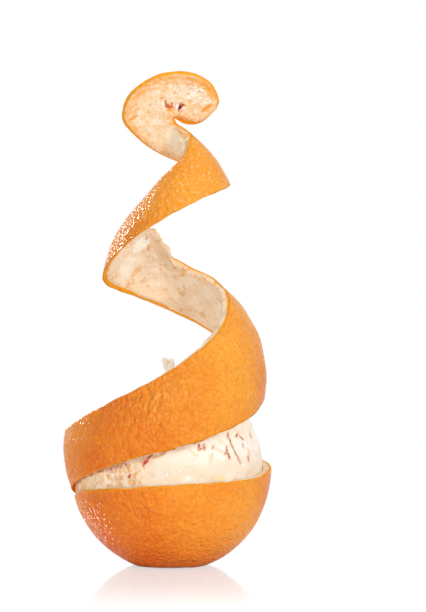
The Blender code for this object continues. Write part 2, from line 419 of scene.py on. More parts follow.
# From the skin inwards over the rounded edge, the corners are the skin, the middle of the
# cut, and the rim, which is the pith's corner.
nearest = min(peel.data.polygons, key=lambda face: (face.center - SKIN_SEED).length)
nearest.select = True
bpy.ops.object.mode_set(mode="EDIT")
bpy.ops.mesh.faces_select_linked_flat(sharpness=SKIN_SHARPNESS)
bpy.ops.object.mode_set(mode="OBJECT")
skin = {corner.index for corner in peel.data.vertices if corner.select}
bpy.ops.object.mode_set(mode="EDIT")
bpy.ops.mesh.select_more()
bpy.ops.object.mode_set(mode="OBJECT")
cut = {corner.index for corner in peel.data.vertices if corner.select} - skin
bpy.ops.object.mode_set(mode="EDIT")
bpy.ops.mesh.select_more()
bpy.ops.mesh.region_to_loop()
bpy.ops.transform.edge_crease(value=CUT_CRISPNESS)
bpy.ops.object.mode_set(mode="OBJECT")
rim = {corner.index for corner in peel.data.vertices if corner.select}

neighbours = [[] for _ in peel.data.vertices]
for edge in peel.data.edges:
    first, second = edge.vertices
    neighbours[first].append(second)
    neighbours[second].append(first)

# The skin runs out to where the rounded edge of the plain solid ends, on the lower edges and
# round the stem-end piece.
proud = {}
for number in cut:
    outer = [n for n in neighbours[number] if n in skin]
    inner = [n for n in neighbours[number] if n in rim]
    if outer and inner:
        nose = peel.data.vertices[number].co
        away = nose - (middle_of(peel, outer) + middle_of(peel, inner)) / 2
        reach = 1.0 if away.z < 0 else 0.3 * on_stem_end(nose)
        for corner in outer + inner:
            proud[corner] = away * reach
for number, shift in proud.items():
    peel.data.vertices[number].co += shift

# The knife was held at a slant, so the rim moves up or down the strip. More of the zest shows
# on the lower edges, and most on the stem-end piece and at the slit's end.
slant = {}
depths = dict.fromkeys(skin, 0.0)
for number in rim:
    inner = [n for n in neighbours[number] if n not in cut | rim | skin]
    if not inner:
        continue
    corner = peel.data.vertices[number]
    inwards = (middle_of(peel, inner) - corner.co).normalized()
    share = on_stem_end(corner.co)
    if inwards.z > 0:
        reach = LOWER_SLANT
        plain_depth = LOWER_DEPTH
    else:
        reach = float(np.interp(corner.co.z, UPPER_SLANT_HEIGHTS, UPPER_SLANTS))
        plain_depth = UPPER_DEPTH
    lobe = fade_in(*LOBE_WIDTHS, corner.co.x) * fade_in(*LOBE_HEIGHTS, corner.co.z)
    reach += (CAP_SLANT + (LOBE_SLANT - CAP_SLANT) * lobe - reach) * share
    slit_end = fade_in(*SLIT_END_WIDTHS, corner.co.x) * fade_in(*SLIT_END_HEIGHTS, corner.co.z)
    depths[number] = plain_depth - (plain_depth - CAP_DEPTH) * share - SLIT_END_ZEST * slit_end
    uneven = 1 + SLANT_UNEVENNESS * noise.noise(corner.co / SLANT_WAVES)
    slant[number] = inwards * reach * uneven
for number, shift in slant.items():
    peel.data.vertices[number].co += shift

# The cut is almost flat from the skin to the rim. Its middle is zest where the rim shows
# zest too, and pith where the rim is all pith.
for number in cut:
    outer = [n for n in neighbours[number] if n in skin]
    inner = [n for n in neighbours[number] if n in slant]
    depths[number] = MIDDLE_DEPTH
    if outer and inner:
        flat = (middle_of(peel, outer) + middle_of(peel, inner)) / 2
        corner = peel.data.vertices[number]
        corner.co = corner.co.lerp(flat, CUT_FLATNESS)
        deepest = sum(depths[n] for n in inner) / len(inner)
        depths[number] = deepest * (0.4 + 0.4 * fade_in(LOWER_DEPTH, UPPER_DEPTH, deepest))

# The skin's own edge, beside the cut, is kept crisp.
brinks = {n for number in cut for n in neighbours[number] if n in skin}
crispness = peel.data.attributes["crease_edge"].data
for edge in peel.data.edges:
    if brinks.issuperset(edge.vertices):
        crispness[edge.index].value = EDGE_CRISPNESS

# Zest oil has soaked into the pith near the cut: most at the cut, less with each row inwards.
soaks = dict.fromkeys(rim | cut | skin, 1.0)
row = rim
for soak in SOAKED_ROWS:
    row = {n for number in row for n in neighbours[number]} - soaks.keys()
    soaks.update(dict.fromkeys(row, soak))
edges = brinks | cut | rim
numbers = range(len(peel.data.vertices))
add_values(peel, "soaked", [soaks.get(n, 0.0) for n in numbers])
add_values(peel, "depth", [depths.get(n, 1.0) for n in numbers])
add_values(peel, "brink", [1.0 if n in edges else 0.0 for n in numbers])
smooth_out(peel, 2)
split_finer(peel, lambda face: face.center.z > MARKED_ABOVE and face.normal.y < FACING_FRONT)
split_finer(peel, lambda face: (face.center - FLAP_PLACE).length < FLAP_REACH)
inward = [value.value for value in peel.data.attributes["depth"].data]
edge_share = [value.value for value in peel.data.attributes["brink"].data]


def peel_relief(place, normal, number):
    """Waves on the skin, lumps in the pith, a ragged cut, steps and a torn flap in its edge."""
    pith = inward[number]
    waves = lumps(place, *SKIN_WAVES)
    pillows = lumps(place, *PITH_PILLOWS) + lumps(place, *PITH_LUMPS)
    wander = drift(place, *KNIFE_WANDER)
    wander += drift(place, *TORN_PITH) * pith
    ragged = edge_share[number] ** 3
    shift = normal * (waves + pillows * pith) + wander * ragged
    if place.y < STEPS_IN_FRONT_OF and STEPS_ABOVE < place.z < STEPS_BELOW:
        step = float(np.interp(place.x, STEP_PLACES, STEP_DROPS))
        shift += Vector((0, 0, -step)) * edge_share[number] ** 2
    if (place - FLAP_PLACE).length < FLAP_REACH:
        turn = math.degrees(math.atan2(place.y, place.x))
        torn = float(np.interp(turn, FLAP_TURNS, FLAP_RISES))
        up = Vector((-place.x, -place.y, 0)).normalized() * FLAP_LEANS_IN
        up += Vector((0, 0, FLAP_STANDS_UP))
        shift += up * torn * edge_share[number] ** 2
    return shift * MM * fade_in(0, FOOT_HEIGHT, place.z)


push(peel, peel_relief)
# Nothing reaches outside the box of the plain solids.
lowest, highest = cad_box
for corner in peel.data.vertices:
    corner.co = [min(max(c, low), high) for c, low, high in zip(corner.co, lowest, highest)]

# The pith of the neck and the stem-end piece is painted a warmer, darker cream in patches:
# painted shade, warmed as by light bounced from the orange skin.
WARM_SHADE_ABOVE = (158 * MM, 164 * MM)
WARM_SHADE_PATCH = 3 * MM
WARM_SHADE_STRENGTH = 0.8
WARM_SHADE_PITH = linear("#F2CD9C")[:3]
add_tint(peel)
tint = peel.data.attributes["tint"].data
for corner in peel.data.vertices:
    warm_shade = fade_in(*WARM_SHADE_ABOVE, corner.co.z)
    if warm_shade > 0:
        patchy = 0.5 + 0.8 * noise.noise(corner.co / WARM_SHADE_PATCH)
        share = max(0.0, min(1.0, patchy)) * WARM_SHADE_STRENGTH * warm_shade
        tint[corner.index].color = (*WARM_SHADE_PITH, share)

# Marks that show from the front, on the pith of the stem-end piece, the neck and the coil: x
# and z of the mark in mm, its lean in degrees, its length and width in mm, its colour and
# strength, and how far it is raised in mm.
PITH_MARKS = [
    # The first three marks are painted light: pale patches over the shade on the coil's pith
    # and on the neck.
    (-19.3, 121.8, 0, 14.0, 9.0, "#FBF2E2", 0.75, 0.0),
    (-12.6, 131.4, 25, 11.0, 6.0, "#FFFBF0", 0.9, 0.0),
    (2.2, 174.5, -20, 15.0, 9.0, "#FFF6E2", 0.7, 0.0),
    (-0.6, 188.3, 85, 3.8, 2.8, "#D65A22", 0.95, -0.3),
    (-2.3, 189.6, 0, 2.6, 0.8, "#B64A20", 0.9, -0.4),
    (-0.4, 186.6, 90, 3.4, 1.5, "#E8A52C", 0.85, -0.1),
    (3.7, 187.8, 22, 3.6, 1.5, "#860E0A", 1.0, -0.5),
    (4.6, 188.8, -50, 2.2, 1.0, "#9A1810", 1.0, -0.3),
    (2.3, 187.9, 10, 2.6, 1.2, "#FFF2EA", 1.0, 0.4),
    (4.4, 186.9, 60, 1.8, 1.0, "#FDE8DC", 0.9, 0.3),
    (0.4, 190.6, 80, 3.6, 0.8, "#FFF4DE", 0.8, 0.4),
    (-3.6, 188.4, 0, 4.6, 0.8, "#FFF3DC", 0.8, 0.4),
    (-5.3, 189.8, 20, 2.2, 0.9, "#FFF6E2", 0.9, 0.45),
    (-6.4, 187.6, -10, 3.2, 0.9, "#FEF2DA", 0.9, 0.4),
    (-5.2, 186.6, 80, 2.0, 0.8, "#FEF0D4", 0.8, 0.35),
    (-4.0, 191.4, 30, 1.3, 1.0, "#E9822A", 0.9, -0.2),
    (-8.6, 188.9, 70, 2.0, 0.8, "#E79A58", 0.8, -0.1),
    (7.5, 190.0, 40, 1.6, 1.5, "#F09A22", 0.9, -0.1),
    (9.6, 194.6, 80, 7.0, 0.9, "#FFF8E8", 0.85, 0.35),
    (9.0, 192.6, 84, 9.0, 0.8, "#FFF5E0", 0.8, 0.3),
    (6.8, 191.6, 60, 4.0, 0.7, "#FFF6E4", 0.8, 0.3),
    (9.2, 193.5, 82, 7.0, 0.7, "#EFB25A", 0.6, -0.2),
    (13.2, 190.6, 20, 5.6, 3.4, "#FBE2CE", 0.7, 0.3),
    (12.6, 195.0, 15, 2.2, 1.5, "#FFF8EA", 0.9, 0.4),
    (13.6, 196.6, -50, 8.0, 3.0, "#F0A030", 0.85, 0.0),
    (16.0, 193.0, -25, 5.0, 2.0, "#F0A236", 0.8, 0.0),
    (8.6, 198.9, -70, 6.0, 2.0, "#EFA338", 0.75, 0.0),
    (0.0, 199.6, 85, 7.0, 1.4, "#EFA742", 0.7, 0.0),
    (-12.8, 193.2, 50, 8.0, 2.2, "#EFA742", 0.75, 0.0),
    (-7.2, 197.4, 62, 6.0, 1.6, "#EFA742", 0.75, 0.0),
    (14.6, 187.6, 58, 6.4, 1.3, "#F09C28", 0.95, -0.5),
    (13.8, 186.4, 65, 4.0, 1.4, "#EFA540", 0.7, 0.0),
    (-15.8, 183.2, 55, 5.0, 1.1, "#EC9428", 0.9, -0.4),
    (-14.2, 186.4, 50, 4.0, 0.8, "#F0B468", 0.7, -0.2),
    (-11.0, 193.0, 20, 3.0, 0.9, "#EDB064", 0.6, -0.1),
    (-1.6, 197.4, 80, 3.0, 1.0, "#EDAE5C", 0.7, -0.1),
    (-6.8, 195.6, 70, 2.6, 1.0, "#EFB66E", 0.6, -0.1),
    # The next three are painted highlights on the neck's cut face, over its fibres.
    (5.6, 172.2, -8, 10.0, 2.4, "#FFF4D2", 0.95, 0.1),
    (6.6, 174.6, 30, 3.2, 0.9, "#FFFAE6", 0.9, 0.2),
    (4.4, 178.2, -38, 6.4, 1.5, "#FBE7BC", 0.85, 0.0),
    (3.4, 176.2, -30, 4.0, 0.6, "#F4C878", 0.7, -0.1),
    (-10.3, 134.0, 10, 3.0, 1.3, "#EAB066", 0.8, -0.2),
    (-9.8, 130.0, -5, 4.6, 1.2, "#E8A95C", 0.8, -0.2),
    (-9.6, 126.0, 10, 2.4, 1.0, "#ECB26A", 0.7, -0.1),
    (-15.2, 119.8, 50, 7.0, 2.4, "#EDB974", 0.7, -0.2),
    (-12.4, 116.2, 60, 4.0, 1.4, "#EBB36C", 0.6, -0.1),
    (1.4, 117.5, -10, 2.6, 1.2, "#E8A95C", 0.6, -0.1),
    (4.5, 111.0, 40, 3.0, 1.4, "#EAAF66", 0.6, -0.1),
    (-26.6, 118.0, 0, 7.0, 1.2, "#F2A63A", 0.8, 0.0),
    (-25.2, 119.4, -4, 7.0, 0.7, "#FFFBEF", 0.9, 0.25),
    (-24.0, 117.6, 4, 5.4, 0.6, "#FFFAEC", 0.9, 0.2),
    (-22.8, 119.8, 0, 4.4, 0.6, "#FFFAEE", 0.7, 0.2),
    (-24.6, 116.6, 0, 4.0, 0.5, "#EDA94C", 0.8, -0.1),
    (-23.4, 121.6, 5, 3.0, 0.6, "#F0B462", 0.7, -0.1),
]
# Fibres on the right half of the stem-end piece, then small flecks on its left half.
FIBRES_AT_RIGHT = 26
FLECKS_AT_LEFT = 60
FIBRE_COLOURS = ["#FFF8E6", "#FFFBF0", "#F3CF94"]
FLECK_COLOURS = ["#EFA850", "#F2BC74", "#FFF3DC"]
chance = random.Random(7)
for _ in range(FIBRES_AT_RIGHT):
    PITH_MARKS.append((chance.uniform(2.5, 14.5), chance.uniform(188.6, 196.4),
                       chance.uniform(55, 105), chance.uniform(2, 4.6),
                       chance.uniform(0.5, 0.8), chance.choice(FIBRE_COLOURS), 0.85, 0.35))
for _ in range(FLECKS_AT_LEFT):
    PITH_MARKS.append((chance.uniform(-17, 6), chance.uniform(179, 199),
                       chance.uniform(-90, 90), chance.uniform(0.9, 2.2),
                       chance.uniform(0.6, 1.0), chance.choice(FLECK_COLOURS),
                       chance.uniform(0.4, 0.8), 0.1))
# Marks are aimed straight back through the peel, between these places in mm.
IN_FRONT = -60
BEHIND = 60
for x, z, lean, length, width, colour, strength, raised in PITH_MARKS:
    dab(peel, Vector((x, IN_FRONT, z)) * MM, Vector((x, BEHIND, z)) * MM, math.radians(lean),
        length * MM, width * MM, colour, strength, raised * MM)

# Shreds left by the knife: x and z of the root and of the tip in mm, thickness in mm, and
# how deep in the peel the shred comes from, from 0 for zest to 1 for pith.
SHREDS = [
    (3.4, 106.8, -4.4, 104.8, 1.5, 0.45), (-1.0, 107.4, -5.4, 106.0, 0.9, 0.5),
    (-8.0, 110.0, -11.0, 108.6, 0.8, 0.6), (-11.6, 111.4, -9.4, 109.0, 0.6, 0.5),
    (-14.6, 112.2, -17.6, 111.6, 0.5, 0.4), (9.6, 105.0, 6.8, 103.2, 0.5, 0.5),
    (-7.0, 172.0, -4.6, 169.4, 2.0, 0.5), (-8.6, 173.4, -6.6, 170.4, 1.1, 0.45),
    (-2.6, 170.2, -0.4, 167.2, 0.8, 0.4), (-10.0, 175.6, -9.0, 174.0, 0.6, 0.4),
]
# A shred starts this deep in the peel, and its tip lies further back. The tip's thickness is a
# share of the root's, and the bend is a share of the length.
SHRED_ROOT_DEPTH = Vector((0, 1, 0)) * MM
SHRED_BENDS_BACK = 0.5 * MM
SHRED_TIP_WIDTH = 0.15
SHRED_BEND = 0.35
SHRED_BEND_WAVES = 3 * MM


def add_shred(root, tip, thickness, deep):
    """A thin bent fibre, tapering from its root to its tip, as a mesh with the peel's data."""
    bpy.ops.curve.primitive_bezier_curve_add()
    shred = bpy.context.object
    shred.data.bevel_depth = thickness / 2
    shred.data.bevel_resolution = 1
    shred.data.resolution_u = 8
    shred.data.use_fill_caps = True
    bend = noise.noise_vector(root / SHRED_BEND_WAVES) * (tip - root).length * SHRED_BEND
    for point, place, radius in zip(shred.data.splines[0].bezier_points, (root, tip),
                                    (1, SHRED_TIP_WIDTH)):
        point.handle_left_type = point.handle_right_type = "FREE"
        point.co = place
        point.handle_left = place + (root - tip) / 3 + bend
        point.handle_right = place + (tip - root) / 3 + bend
        point.radius = radius
    shred.location = (0, 0, 0)
    bpy.ops.object.convert(target="MESH")
    shred = bpy.context.object
    for name, value in (("depth", deep), ("brink", 0.0), ("soaked", 0.0)):
        add_values(shred, name, [value] * len(shred.data.vertices))
    add_tint(shred)
    return shred


shreds = []
for x, z, tip_x, tip_z, thickness, deep in SHREDS:
    met, root, _, _ = peel.ray_cast(Vector((x, IN_FRONT, z)) * MM, Vector((0, 1, 0)))
    if not met:
        print("left out: a shred whose root misses the peel")
        continue
    tip = Vector((tip_x * MM, root.y + SHRED_BENDS_BACK, tip_z * MM))
    shreds.append(add_shred(root + SHRED_ROOT_DEPTH, tip, thickness * MM, deep))
bpy.ops.object.select_all(action="DESELECT")
for shred in shreds:
    shred.select_set(True)
peel.select_set(True)
bpy.context.view_layer.objects.active = peel
bpy.ops.object.join()
bpy.ops.object.shade_smooth()

# Orange rind, as it comes off the knife. Its waxy skin is orange with oil and catches small
# crisp glints on its gland domes and wrinkles; painted highlights on its dome tops, crests and
# dots and painted shade in its pits and at its foot add to them. Its pith is matt, clouded from
# white to cream, lets a little light through, and is stained with oil beside the cut.
WAX_ROUGHNESS = 0.19
PITH_ROUGHNESS = 0.75
RIND_IOR = 1.42
WAX_SHINE = 0.12
LIGHT_THROUGH_SKIN = 0.05
LIGHT_THROUGH_PITH = 0.3
LIGHT_REACH = 2.5 * MM
BUMP_HEIGHT = 0.8 * MM
RAG_DEPTH = 0.14

# The patterns, as a number to the metre worked out from the size of one. Those under 2 mm are
# finer on a real orange, and are drawn as coarse as they need to be to show.
TONE_PATCHES = 45.0  # patches of orange 22 mm wide
RAGS = 500.0  # rags of 2 mm on the border between zest and pith
GLANDS = 640.0  # oil glands 1.6 mm apart
GLAND_DRIFT = 450.0  # their rows wander over 2.2 mm
WRINKLES = 420.0  # wrinkles 2.4 mm apart, twice as long as wide
CREST_HIGHLIGHTS = 900.0  # pale streaks 1.1 mm wide, three times as long
HIGHLIGHT_DOTS = 430.0  # pale dots, painted highlights on the glands, 2.3 mm apart
FINE_GRAIN = 1000.0  # grain of 1 mm on the glands
PITH_CLOUDS = 220.0  # clouds of 4.5 mm in the pith
OIL_PATCHES = 130.0  # groups of oil flecks 7.7 mm wide
OIL_FLECKS = 520.0  # flecks of 1.9 mm
OIL_STAINS = 700.0  # stains of 1.4 mm beside the cut

# Painted light and shade: the skin is painted lighter towards this side, by so much for each
# metre of x and z, darker again at the far right, and lighter at the far left.
PAINTED_LIGHT_SIDE = (13.0, 0.0, 3.2)
FAR_RIGHT_PAINTED_SHADE = 0.6
FAR_LEFT_PAINTED_LIGHT = 0.4

# How strongly the painted shade in the pits and at the foot, the painted highlights on the dome
# tops, crests and dots, and the zest at the edge cover the skin, and how strongly oil covers
# the pith.
PIT_SHADE_COVER = 0.15
DOME_HIGHLIGHT_COVER = 0.2
CREST_HIGHLIGHT_COVER = 0.36
LOW_DOT_HIGHLIGHT_COVER = 0.06
HIGH_DOT_HIGHLIGHT_COVER = 0.55
FOOT_SHADE_COVER = 0.25
EDGE_COVER = 0.85
FLECK_COVER = 0.75
STAIN_COVER = 0.95

# The strip is bent most sharply round this place, so its skin is most wrinkled there. The dry
# skin of the upper coil has hardly any wrinkles.
FOLD_PLACE = (-8 * MM, -38 * MM, 74 * MM)
AWAY_FROM_FOLD = 0.25
FOLD_WRINKLES = 1.2
CUP_WRINKLES = 0.9
COIL_WRINKLES = 1.5
DRY_WRINKLES = -1.8
DOME_BUMPS = 0.65
DOT_BUMPS = 0.2
GRAIN_BUMPS = 0.06

peel_look = bpy.data.materials.new("orange_rind")
peel_look.use_nodes = True
tree = peel_look.node_tree
shader = tree.nodes["Principled BSDF"]
place = add_node(tree, "TexCoord", {}).outputs["Object"]
apart = add_node(tree, "SeparateXYZ", {0: place})

# Zest or pith, by how deep the corner lies, with a ragged border.
depth = add_node(tree, "Attribute", {}, attribute_name="depth").outputs["Fac"]
ragged = add_node(tree, "TexNoise", {"Vector": place, "Scale": RAGS, "Detail": 3.0})
ragged = add_node(tree, "MapRange", {"Value": ragged.outputs[0], "To Min": -RAG_DEPTH,
                                     "To Max": RAG_DEPTH})
depth = add_node(tree, "Math", {0: depth, 1: ragged.outputs[0]}, operation="ADD")
pith = add_node(tree, "MapRange", {"Value": depth.outputs[0], "From Min": 0.38,
                                   "From Max": 0.58}, interpolation_type="SMOOTHSTEP")
cut_zest = add_node(tree, "MapRange", {"Value": depth.outputs[0], "From Min": 0.0,
                                       "From Max": 0.12}, interpolation_type="SMOOTHSTEP")

# The skin's orange, in random patches, with the painted light and shade by side.
tone = add_node(tree, "TexNoise", {"Vector": place, "Scale": TONE_PATCHES, "Detail": 3.0})
side = add_node(tree, "VectorMath", {0: place, 1: PAINTED_LIGHT_SIDE}, operation="DOT_PRODUCT")
tone = add_node(tree, "Math", {0: side.outputs["Value"], 1: tone.outputs[0]},
                operation="ADD")
far_right_shade = add_node(tree, "MapRange", {
    "Value": apart.outputs["X"], "From Min": 31 * MM, "From Max": 40 * MM,
    "To Max": FAR_RIGHT_PAINTED_SHADE}, interpolation_type="SMOOTHSTEP")
tone = add_node(tree, "Math", {0: tone.outputs[0], 1: far_right_shade.outputs[0]},
                operation="SUBTRACT")
far_left_light = add_node(tree, "MapRange", {
    "Value": apart.outputs["X"], "From Min": -27 * MM, "From Max": -39 * MM,
    "To Max": FAR_LEFT_PAINTED_LIGHT}, interpolation_type="SMOOTHSTEP")
tone = add_node(tree, "Math", {0: tone.outputs[0], 1: far_left_light.outputs[0]}, operation="ADD")
tone = add_node(tree, "MapRange", {"Value": tone.outputs[0], "From Min": 0.2,
                                   "From Max": 1.2})
skin_colour = add_node(tree, "Mix", {0: tone.outputs[0], 6: linear("#E06A18"),
                                     7: linear("#F6A437")}, data_type="RGBA")

# Oil glands: low domes, with painted shade in the pits between them and painted highlights on
# their tops.
warp = add_node(tree, "TexNoise", {"Vector": place, "Scale": GLAND_DRIFT})
warp = add_node(tree, "VectorMath", {0: warp.outputs["Color"], 1: (0.8 * MM,) * 3},
                operation="MULTIPLY")
bent = add_node(tree, "VectorMath", {0: place, 1: warp.outputs[0]}, operation="ADD")
glands = add_node(tree, "TexVoronoi", {"Vector": bent.outputs[0], "Scale": GLANDS,
                                       "Smoothness": 0.3}, feature="SMOOTH_F1")
domes = add_node(tree, "MapRange", {"Value": glands.outputs["Distance"], "From Min": 0.0,
                                    "From Max": 0.85, "To Min": 1.0, "To Max": 0.0})
pit_shade = add_node(tree, "MapRange", {"Value": domes.outputs[0], "From Min": 0.1,
                                   "From Max": 0.5, "To Min": PIT_SHADE_COVER, "To Max": 0.0})
top_highlights = add_node(tree, "MapRange", {"Value": domes.outputs[0], "From Min": 0.6,
                                   "From Max": 0.82, "To Max": DOME_HIGHLIGHT_COVER})

# Wrinkles along the height of the skin, and pale crests on them round the fold: painted
# highlights.
upright = add_node(tree, "VectorMath", {0: place, 1: (1.0, 1.0, 0.5)}, operation="MULTIPLY")
wrinkles = add_node(tree, "TexNoise", {"Vector": upright.outputs[0], "Scale": WRINKLES,
                                       "Detail": 1.0})
streaks = add_node(tree, "VectorMath", {0: place, 1: (1.0, 1.0, 0.35)}, operation="MULTIPLY")
crest_highlights = add_node(tree, "TexNoise", {"Vector": streaks.outputs[0], "Scale": CREST_HIGHLIGHTS,
                                     "Detail": 1.0})
from_fold = add_node(tree, "VectorMath", {0: place, 1: FOLD_PLACE}, operation="DISTANCE")
folded = add_node(tree, "MapRange", {"Value": from_fold.outputs["Value"],
                                     "From Min": 8 * MM, "From Max": 24 * MM,
                                     "To Min": 1.0, "To Max": AWAY_FROM_FOLD},
                  interpolation_type="SMOOTHSTEP")
crest_highlights = add_node(tree, "MapRange", {"Value": crest_highlights.outputs[0], "From Min": 0.54,
                                     "From Max": 0.68, "To Max": CREST_HIGHLIGHT_COVER})
crest_highlights = add_node(tree, "Math", {0: crest_highlights.outputs[0], 1: folded.outputs[0]},
                  operation="MULTIPLY")

# Pale dots on the glands, painted highlights, more of them the higher up the coil.
highlight_dots = add_node(tree, "TexVoronoi", {"Vector": bent.outputs[0], "Scale": HIGHLIGHT_DOTS},
                feature="F1")
highlight_dots = add_node(tree, "MapRange", {"Value": highlight_dots.outputs["Distance"], "From Min": 0.14,
                                   "From Max": 0.38, "To Min": 1.0, "To Max": 0.0},
                interpolation_type="SMOOTHSTEP")
up_the_coil = add_node(tree, "MapRange", {"Value": apart.outputs["Z"], "From Min": 125 * MM,
                                  "From Max": 160 * MM, "To Min": LOW_DOT_HIGHLIGHT_COVER,
                                  "To Max": HIGH_DOT_HIGHLIGHT_COVER})
highlight_dots = add_node(tree, "Math", {0: highlight_dots.outputs[0], 1: up_the_coil.outputs[0]}, operation="MULTIPLY")

# Painted shade at the foot, as a deeper orange, and the clear zest along the cut.
foot_shade = add_node(tree, "MapRange", {"Value": apart.outputs["Z"], "From Min": 18 * MM,
                                   "From Max": 0.0, "To Max": FOOT_SHADE_COVER})
near_edge = add_node(tree, "Attribute", {}, attribute_name="brink").outputs["Fac"]
brink = add_node(tree, "MapRange", {"Value": near_edge, "From Min": 0.8, "From Max": 1.0,
                                    "To Max": EDGE_COVER})
edge_zest = add_node(tree, "Math", {0: cut_zest.outputs[0], 1: brink.outputs[0]},
                     operation="MAXIMUM")
# Over the skin's orange: painted shade in the pits, painted highlights on the tops, crests and
# dots, painted shade at the foot, and the clear zest at the edge.
for cover, over in ((pit_shade, "#C8540E"), (top_highlights, "#FFB45C"), (crest_highlights, "#FFBE6E"),
                    (highlight_dots, "#FFCF8A"), (foot_shade, "#CE4E10"), (edge_zest, "#F8A21C")):
    skin_colour = add_node(tree, "Mix", {0: cover.outputs[0], 6: skin_colour.outputs[2],
                                         7: linear(over)}, data_type="RGBA")

# Pith: clouds, flecks of oil in groups, and the stains beside the cut, which are strongest on
# the stem-end piece.
clouds = add_node(tree, "TexNoise", {"Vector": place, "Scale": PITH_CLOUDS, "Detail": 4.0})
clouds = add_node(tree, "MapRange", {"Value": clouds.outputs[0], "From Min": 0.3,
                                     "From Max": 0.7})
pith_colour = add_node(tree, "Mix", {0: clouds.outputs[0], 6: linear("#EFD6B4"),
                                     7: linear("#F8E8D2")}, data_type="RGBA")
groups = add_node(tree, "TexNoise", {"Vector": place, "Scale": OIL_PATCHES, "Detail": 1.0})
flecks = add_node(tree, "TexNoise", {"Vector": place, "Scale": OIL_FLECKS, "Detail": 2.0})
flecks = add_node(tree, "Math", {0: groups.outputs[0], 1: 0.6, 2: flecks.outputs[0]},
                  operation="MULTIPLY_ADD")
flecks = add_node(tree, "MapRange", {"Value": flecks.outputs[0], "From Min": 0.91,
                                     "From Max": 1.02, "To Max": FLECK_COVER})
stem_end = add_node(tree, "MapRange", {"Value": apart.outputs["Z"], "From Min": 150 * MM,
                                       "From Max": 180 * MM, "To Min": 0.15, "To Max": 1.0})
soaked = add_node(tree, "Attribute", {}, attribute_name="soaked").outputs["Fac"]
stains = add_node(tree, "TexNoise", {"Vector": place, "Scale": OIL_STAINS, "Detail": 2.0})
stains = add_node(tree, "Math", {0: stains.outputs[0], 1: 2.2, 2: soaked},
                  operation="MULTIPLY_ADD")
stains = add_node(tree, "MapRange", {"Value": stains.outputs[0], "From Min": 1.4,
                                     "From Max": 2.0, "To Max": STAIN_COVER})
stains = add_node(tree, "Math", {0: stains.outputs[0], 1: stem_end.outputs[0]},
                  operation="MULTIPLY")
for cover, over in ((flecks, "#EDB160"), (stains, "#F0A13C")):
    pith_colour = add_node(tree, "Mix", {0: cover.outputs[0], 6: pith_colour.outputs[2],
                                         7: linear(over)}, data_type="RGBA")
tint = add_node(tree, "Attribute", {}, attribute_name="tint")
pith_colour = add_node(tree, "Mix", {0: tint.outputs["Alpha"], 6: pith_colour.outputs[2],
                                     7: tint.outputs["Color"]}, data_type="RGBA")
colour = add_node(tree, "Mix", {0: pith.outputs[0], 6: skin_colour.outputs[2],
                                7: pith_colour.outputs[2]}, data_type="RGBA")
tree.links.new(colour.outputs[2], shader.inputs["Base Color"])
roughness = add_node(tree, "MapRange", {"Value": cut_zest.outputs[0],
                                        "To Min": WAX_ROUGHNESS, "To Max": PITH_ROUGHNESS})
tree.links.new(roughness.outputs[0], shader.inputs["Roughness"])

# Relief: wrinkles, grain, domes and dots on the skin, and the clouds in the pith.
grain = add_node(tree, "TexNoise", {"Vector": place, "Scale": FINE_GRAIN, "Detail": 1.0})
wrinkled = add_node(tree, "MapRange", {"Value": apart.outputs["Z"], "From Min": 38 * MM,
                                       "From Max": 65 * MM, "To Min": CUP_WRINKLES,
                                       "To Max": COIL_WRINKLES},
                    interpolation_type="SMOOTHSTEP")
wrinkled = add_node(tree, "Math", {0: up_the_coil.outputs[0], 1: DRY_WRINKLES,
                                   2: wrinkled.outputs[0]}, operation="MULTIPLY_ADD")
wrinkled = add_node(tree, "Math", {0: folded.outputs[0], 1: FOLD_WRINKLES,
                                   2: wrinkled.outputs[0]}, operation="MULTIPLY_ADD")
skin_height = add_node(tree, "Math", {0: wrinkles.outputs[0], 1: wrinkled.outputs[0]},
                       operation="MULTIPLY")
for bumps, share in ((grain, GRAIN_BUMPS), (domes, DOME_BUMPS), (highlight_dots, DOT_BUMPS)):
    skin_height = add_node(tree, "Math", {0: bumps.outputs[0], 1: share,
                                          2: skin_height.outputs[0]},
                           operation="MULTIPLY_ADD")
height = add_node(tree, "Mix", {0: cut_zest.outputs[0], 2: skin_height.outputs[0],
                                3: clouds.outputs[0]})
bump = add_node(tree, "Bump", {"Height": height.outputs[0], "Strength": 1.0,
                               "Distance": BUMP_HEIGHT})
tree.links.new(bump.outputs[0], shader.inputs["Normal"])
shader.inputs["IOR"].default_value = RIND_IOR
shader.inputs["Specular IOR Level"].default_value = WAX_SHINE
glow = add_node(tree, "MapRange", {"Value": pith.outputs[0], "To Min": LIGHT_THROUGH_SKIN,
                                   "To Max": LIGHT_THROUGH_PITH})
tree.links.new(glow.outputs[0], shader.inputs["Subsurface Weight"])
shader.inputs["Subsurface Radius"].default_value = (1.0, 0.55, 0.3)
shader.inputs["Subsurface Scale"].default_value = LIGHT_REACH
peel.data.materials.append(peel_look)
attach(peel, "root")
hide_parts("peel")


# The fruit: the peeled orange with its thin white pith still on. It has never left the
# cup, so its pith is one with the cup's, and it fills the slit near the slit's end.

# Its pith is meshed finer above this height, where it shows.
BARE_ABOVE = 24 * MM

# How far the pith is moved out in mm: to meet the cup all round below the rim, and further in
# a web at the slit's end, between these turns in degrees and these heights.
BOND = 0.55
BOND_STARTS = (52 * MM, 44 * MM)
WEB = 2.2
WEB_FIRST_TURNS = (160, 180)
WEB_LAST_TURNS = (235, 215)
WEB_TOP = (56 * MM, 42 * MM)
WEB_FOOT = (24 * MM, 30 * MM)

